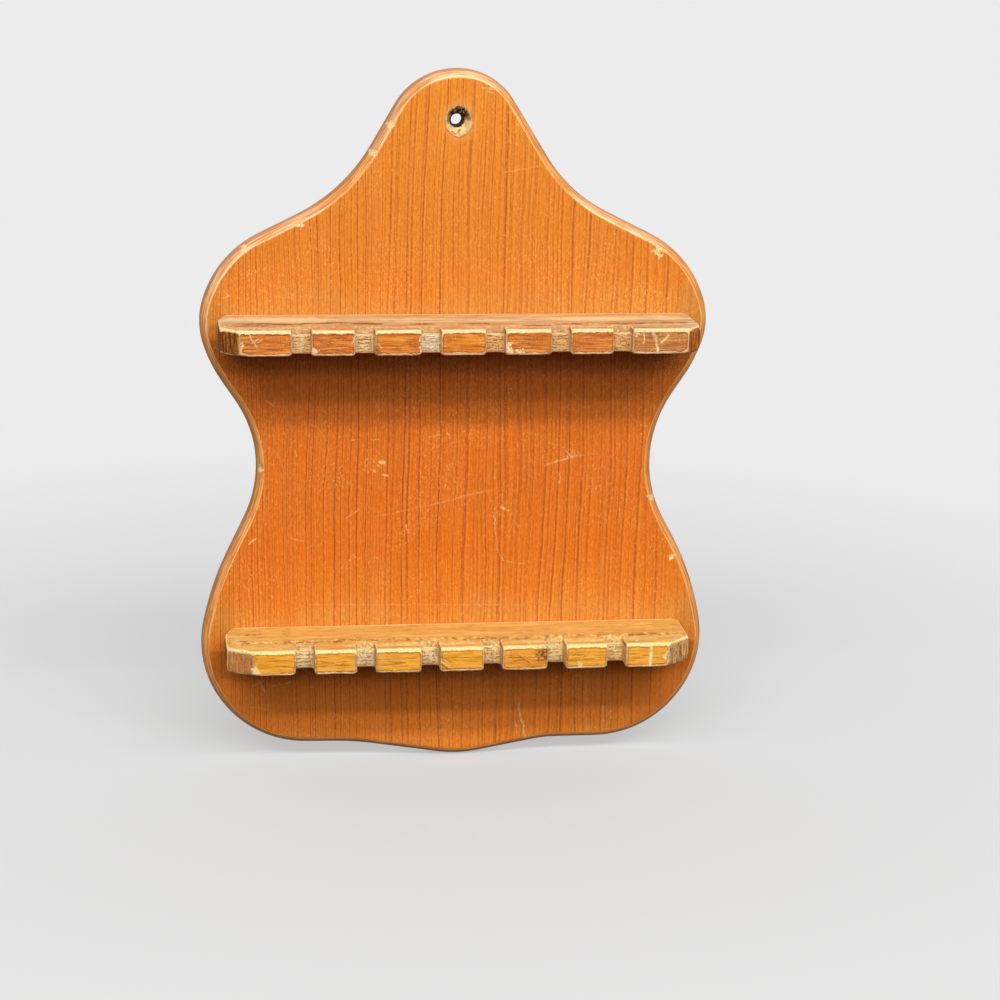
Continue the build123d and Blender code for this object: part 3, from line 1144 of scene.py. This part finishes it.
    # Knocks, scratches and dirt on the teeth
    waver = (place.mottle(0.9, 2) - 0.42) * 0.6
    line_x, _, line_z = place.ragged(0.35, 1.8).split()
    spot_x, _, spot_z = place.ragged(0.45, 6.5).split()
    lines = [line_mark(line_x, line_z, line, waver) for line in marks.bare_lines]
    spots = [patch_mark(spot_x, spot_z, spot) for spot in marks.bare_spots]
    spots = strongest(spots) + fine.swing(2.2)
    bared = largest(strongest(lines) * curl.ramp(0.34, 0.46, 0.6, 1), spots.ramp(0.5, 0.66))
    dirty_lines = [line_mark(line_x, line_z, line, waver) for line in marks.dark_lines]
    dirt = [patch_mark(spot_x, spot_z, spot) for spot in marks.dark_spots]
    dirt = largest(strongest(dirt) * fine.ramp(0.4, 0.58, 0.1, 1), strongest(dirty_lines))

    rail_colour = coats(
        blend(up.ramp(0.5, 0.8), stain, top),
        (margin * 0.94, margin_colour),
        (panel_rim * 0.6, (0.52, 0.38, 0.28), "MULTIPLY"),
        (cut_end, corner),
        (in_notch.ramp(0.3, 0.8), notch_wall),
        (lip, lip_colour),
        (rubbed * 0.92, pale),
        # Painted shade on the rail's underside
        (shaded_underside * 0.85, (0.42, 0.13, 0.02)),
        (bared * in_front_face * 0.85, colours.arris),
        (dirt * in_front_face, (0.2, 0.085, 0.03)),
    )
    rougher = largest(rubbed, largest(in_notch, cut_end)) * 0.22
    relief = fibres * 0.8 + ring_line * -0.6 + in_notch * (strokes * -1.6) + dark_patch * -1.2
    relief = relief + dark_fleck * -1.2 + margin * (curl * 2.5) + cut_end * (upright + flaked)
    finish.give("Base Color", rail_colour)
    finish.give("Roughness", fibres.ramp(0.3, 0.8, 0.52, 0.66) + rougher)
    finish.give("Specular IOR Level", 0.15)
    finish.give("Normal", relief.bump(0.00022))
    return finish.owner


upper_stick = Stick("upper_rail", 0.0, 6.0, (8.4, 7.2), (6.6, 7.2))
lower_stick = Stick("lower_rail", 2.0, 9.7, (11.5, 6.8), (11.3, 9.8))
upper_colours = SimpleNamespace(
    stains=((0.62, 0.25, 0.07), (0.72, 0.198, 0.032), (0.84, 0.262, 0.021)),
    grain=0.9,
    top_bands=(
        (0, (0.72, 0.48, 0.2)),
        (6, (0.67, 0.42, 0.17)),
        (13, (0.76, 0.54, 0.29)),
        (20, (0.68, 0.42, 0.18)),
        (27, (0.74, 0.45, 0.21)),
        (36, (0.78, 0.5, 0.24)),
    ),
    top_streaks=((0.56, 0.29, 0.105), (0.84, 0.64, 0.37)),
    flecks=(0.35, (0.9, 0.66, 0.34), (0.4, 0.15, 0.045)),
    left_cut=((0.47, 0.15, 0.02), (0.14, 0.036, 0.004), 0.72),
    right_cut=((0.78, 0.225, 0.024), (0.27, 0.064, 0.006), 0.64),
    bare=(0.9, 0.48, 0.165),
    arris=(0.96, 0.72, 0.36),
    hatch=0.8,
    strokes=(0.74, 0.255, 0.075),
    lips=((0.66, 0.38, 0.16), (0.42, 0.2, 0.075)),
)
lower_colours = SimpleNamespace(
    stains=((0.7, 0.3, 0.075), (0.92, 0.335, 0.024), (1, 0.445, 0.035)),
    grain=0.62,
    top_bands=(
        (0, (0.78, 0.49, 0.13)),
        (7, (0.76, 0.42, 0.09)),
        (15, (0.8, 0.45, 0.12)),
        (21, (0.76, 0.42, 0.11)),
        (27, (0.8, 0.5, 0.13)),
        (36, (0.82, 0.54, 0.14)),
    ),
    top_streaks=((0.68, 0.33, 0.065), (0.88, 0.56, 0.17)),
    flecks=(0.85, (0.97, 0.72, 0.24), (0.42, 0.18, 0.032)),
    left_cut=((0.72, 0.3, 0.088), (0.48, 0.172, 0.046), 0.64),
    right_cut=((1, 0.57, 0.19), (0.38, 0.12, 0.024), 0.54),
    bare=(1, 0.7, 0.29),
    arris=(0.97, 0.78, 0.36),
    hatch=0.6,
    strokes=(0.82, 0.36, 0.07),
    lips=((0.8, 0.53, 0.22), (0.54, 0.3, 0.09)),
)

# Marks on the teeth are placed across and up the rack, and those on the tops across and out
# from the board. Lines have a width and a strength, patches a reach each way and a strength.
upper_marks = SimpleNamespace(
    bare_lines=(
        (-94.5, -88.7, -91.1, -94.1, 0.42, 0.8),
        (-93, -93, -90, -90.5, 0.4, 0.7),
        (-91, -92.6, -88.5, -91, 0.36, 0.6),
        (-41, -94.6, -38.4, -93, 0.34, 0.6),
        (-38.4, -93, -36.4, -95, 0.34, 0.6),
        (84.2, -87.2, 85.8, -92, 0.95, 1),
        (85.8, -92, 87.4, -98.8, 0.7, 1),
        (80.4, -89.3, 80.6, -93.6, 0.5, 0.8),
        (88.6, -93.6, 91.2, -90.4, 0.7, 0.8),
    ),
    bare_spots=(
        (-66.2, -96.6, 3.4, 2.4, 0.9),
        (19.4, -95.8, 2.8, 4, 0.95),
        (24.8, -97, 2.8, 2.2, 0.9),
        (-19, -90.6, 1.8, 2.6, 0.8),
        (-18.4, -95, 1.6, 3, 0.8),
        (77.5, -90.4, 3.4, 1.6, 0.8),
        (-48, -92, 1.4, 3.4, 0.7),
        (-97.4, -93, 1.4, 5, 0.7),
    ),
    dark_lines=(
        (21, -89.2, 31, -90.6, 0.34, 0.7),
        (31, -90.6, 37, -90, 0.3, 0.6),
        (24, -93.4, 36, -92.8, 0.3, 0.5),
        (-65, -91, -52, -90.4, 0.3, 0.5),
        (-36, -89.8, -22, -89, 0.3, 0.5),
    ),
    dark_spots=(
        (-38.6, -97, 2.4, 2.2, 0.9),
        (84, -90, 9, 2.6, 0.45),
        (92, -96, 6, 2.4, 0.35),
        (-93, -93, 5, 3.4, 0.35),
    ),
    top_pale=(
        (-76, 12, 30, 7.5, 1),
        (-96, 9, 14, 6, 0.7),
        (-20, 11, 30, 4.5, 0.55),
        (62, 13, 34, 7, 1),
        (20, 15, 18, 4, 0.6),
        (96, 12, 12, 7, 0.6),
        (30, 28, 60, 3, 0.45),
    ),
    top_dark=(
        (-86, 21.5, 24, 3.4, 1),
        (-60, 19.5, 16, 2.6, 0.75),
        (-42, 22.5, 10, 4, 1),
        (-92, 26.5, 16, 2.6, 0.75),
        (-16, 23, 12, 2.6, 0.6),
        (8, 22, 12, 2.4, 0.6),
        (34, 26.5, 10, 3, 0.75),
        (52, 25, 12, 2.8, 0.75),
        (76, 24, 18, 2.8, 0.8),
        (97, 23, 12, 2.6, 0.8),
    ),
)
lower_marks = SimpleNamespace(
    bare_lines=(
        (89.3, -236, 89.1, -245.2, 0.95, 1),
        (-12, -238.2, -3.6, -243.2, 0.34, 0.7),
    ),
    bare_spots=(
        (56.5, -243.2, 1.6, 2.6, 0.8),
        (-92, -243.4, 3.2, 2.4, 0.8),
        (97.4, -240.6, 3, 5.4, 0.7),
        (22, -238, 1.2, 3, 0.6),
        (70, -238, 1.4, 4.4, 0.6),
    ),
    dark_lines=(
        (-13, -239, -4.4, -244, 0.42, 0.9),
        (-10, -237.2, -3.4, -240.8, 0.32, 0.6),
        (27, -238, 33, -242.4, 0.34, 0.6),
        (24, -242, 31, -240, 0.3, 0.5),
        (50, -241.4, 60, -239.6, 0.32, 0.6),
        (-62, -240, -50, -241, 0.3, 0.5),
    ),
    dark_spots=(
        (39.6, -238.6, 5.4, 5.6, 1),
        (-92.8, -237.2, 2, 3.4, 0.8),
        (99.5, -241, 2.4, 5, 0.6),
    ),
    top_pale=(
        (-20, 30, 60, 4, 0.6),
        (60, 30, 50, 4, 0.6),
        (-98, 22, 5, 9, 0.6),
    ),
    top_dark=(
        (-60, 24, 42, 2.6, 0.45),
        (20, 24.5, 40, 2.6, 0.45),
        (-96, 24, 5, 7, 0.45),
        (90, 24, 18, 3, 0.5),
        (-92, 11, 10, 2.4, 0.5),
    ),
)


def far_corners(stick):
    """The ends of a rail, where its corners are knocked round, and how far round each goes."""
    left_y = stick.front + stick.left_cut[1]
    right_y = stick.front + stick.right_cut[1]
    corners = [
        ((stick.tooth_left, stick.front, stick.bottom), 3.4 * mm),
        ((stick.tooth_right, stick.front, stick.bottom), 3.0 * mm),
        ((stick.tooth_left, stick.front, stick.top), 3.2 * mm),
        ((stick.tooth_right, stick.front, stick.top), 2.4 * mm),
        ((stick.left, left_y, stick.bottom), 3.0 * mm),
        ((stick.right, right_y, stick.bottom), 2.8 * mm),
        ((stick.left, left_y, stick.top), 2.6 * mm),
        ((stick.right, right_y, stick.top), 2.6 * mm),
    ]
    for x, y in stick.front_line():
        if y == stick.front:
            corners.append(((x, y, stick.bottom), 1.4 * mm))
    return corners


# How far apart the saw left its rows and columns in the notches, in mm
upper_saw = (1.35, 2.6)
lower_saw = (1.7, 3.2)
upper_finish = rail_finish("red_brown_rail", upper_stick, upper_colours, upper_saw, upper_marks)
lower_finish = rail_finish("yellow_orange_rail", lower_stick, lower_colours, lower_saw, lower_marks)
# How far each tooth goes from grey over red to yellow, and how pale each notch is
upper_tooth_tones = (0.35, 0.2, 0.55, 1.0, 0.4, 0.1, -0.5)
upper_notch_tones = (0.25, 0.35, 1.0, 0.1, 0.1, 0.0)
lower_tooth_tones = (1.0, 0.9, 0.95, 0.85, 0.3, 0.9, 0.85)
lower_notch_tones = (0.35, 0.55, 0.35, 0.15, 0.1, 0.1)
for name, stick, finish_material, tooth_tones, notch_tones in (
    ("upper_spoon_rail", upper_stick, upper_finish, upper_tooth_tones, upper_notch_tones),
    ("lower_spoon_rail", lower_stick, lower_finish, lower_tooth_tones, lower_notch_tones),
):
    rail = worn_rail(name, stick, tooth_tones, notch_tones, far_corners(stick))
    dress(rail, finish_material)
    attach(rail, "root")
    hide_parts(stick.name)

# Screws
# Six slotted countersunk wood screws of dull plated steel, driven flush from behind, three to
# each rail. Only their heads show, on the board's back face.


def screw_finish():
    finish = Finish(bpy.data.materials.new("dull_plated_steel"))
    place = finish.place()
    cloud = place.mottle(0.9, 3, 0.6)
    fine = place.mottle(5, 2)
    steel = blend(cloud.ramp(0.35, 0.7), (0.55, 0.53, 0.48), (0.3, 0.25, 0.19))
    steel = blend(fine.ramp(0.55, 0.75, 0, 0.5), steel, (0.2, 0.13, 0.08))
    finish.give("Base Color", steel)
    finish.give("Metallic", 0.9)
    finish.give("Roughness", cloud.ramp(0.3, 0.7, 0.32, 0.55))
    finish.give("Normal", fine.bump(3e-05))
    return finish.owner


steel = screw_finish()
for name in screw_names:
    dress(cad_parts[name], steel)

# Floor, light and camera
# A plain pale floor at the foot of the board, three long soft lamps in front that stand higher
# and lower, and an even light from all round that is stronger from behind.
backdrop_grey = 0.84
floor_grey = 0.64
unseen_grey = 0.06
even_share_near = 0.5
floor_mesh = bmesh.new()
bmesh.ops.create_grid(floor_mesh, x_segments=1, y_segments=1, size=6.0)
floor = new_piece("floor", floor_mesh)
floor.data.transform(Matrix.Translation((0, 0, board_low.z - 0.2 * mm)))


def seen(finish):
    """One for what the camera sees, also in a gloss or through glass, and zero for light."""
    rays = finish.node("ShaderNodeLightPath").outputs
    ways = ("Is Camera Ray", "Is Glossy Ray", "Is Transmission Ray")
    return strongest([Amount(finish, rays[way]) for way in ways])


floor_finish = Finish(bpy.data.materials.new("pale_floor"))
floor_x, floor_y, _ = floor_finish.place().split()
far = (floor_x * floor_x + floor_y * floor_y).math("SQRT")
fade = far.ramp(130, 700, even_share_near, 1)
floor_seen = seen(floor_finish)
floor_finish.give("Base Color", blend(floor_seen, (unseen_grey,) * 3, (floor_grey,) * 3))
floor_finish.give("Roughness", 1)
floor_finish.give("Specular IOR Level", 0)
shaded = Amount(floor_finish, floor_finish.surface.outputs[0])
even_tone = floor_finish.amount("ShaderNodeEmission", {"Color": (backdrop_grey,) * 3})
mixed = floor_finish.amount("ShaderNodeMixShader", {0: fade * floor_seen, 1: shaded, 2: even_tone})
floor_finish.feed(floor_finish.tree.nodes["Material Output"].inputs["Surface"], mixed)
floor.data.materials.append(floor_finish.owner)

front_strength = 0.04
behind_strength = 0.80
world = bpy.data.worlds.new("studio")
bpy.context.scene.world = world
sky = Finish(world, "Background")
_, behind, _ = sky.amount("ShaderNodeTexCoord", output="Generated").split()
round_light = behind.ramp(0.05, 0.7, front_strength, behind_strength)
sky.give("Strength", sky.amount("ShaderNodeMix", {0: seen(sky), 2: round_light, 3: backdrop_grey}))
sky.give("Color", (1, 1, 1))

lamp_target = Vector((0, -0.03, -0.15))
lamp_distance = 2.6
lamp_length = 4.0
for name, lift, height, power in (
    ("steep_lamp", 48.5, 0.20, 62.0),
    ("shallow_lamp", 39.8, 0.15, 26.5),
    ("low_lamp", 22.5, 0.87, 23.0),
):
    data = bpy.data.lights.new(name, "AREA")
    data.shape = "RECTANGLE"
    data.size = lamp_length
    data.size_y = height
    data.energy = power
    lamp = bpy.data.objects.new(name, data)
    bpy.context.scene.collection.objects.link(lamp)
    lift = math.radians(lift)
    lamp.location = lamp_target + lamp_distance * Vector((0.0, -math.cos(lift), math.sin(lift)))
    lamp.rotation_euler = (lamp_target - lamp.location).to_track_quat("-Z", "Y").to_euler()

camera_place = Vector((-145.24, -1159.62, 138.02)) * mm
camera_yaw, camera_pitch, camera_roll = (math.radians(a) for a in (8.319, 15.072, 1.323))
picture_width = 1000
focal_pixels = 2600
camera_data = bpy.data.cameras.new("camera")
camera_data.sensor_width = 36
camera_data.lens = camera_data.sensor_width * focal_pixels / picture_width
camera_data.clip_start = 0.05
camera = bpy.data.objects.new("camera", camera_data)
bpy.context.scene.collection.objects.link(camera)
look = (
    Matrix.Rotation(-camera_yaw, 4, "Z")
    @ Matrix.Rotation(math.pi / 2 - camera_pitch, 4, "X")
    @ Matrix.Rotation(camera_roll, 4, "Z")
)
camera.matrix_world = Matrix.Translation(camera_place) @ look
bpy.context.scene.camera = camera
bpy.context.scene.view_settings.view_transform = "Standard"
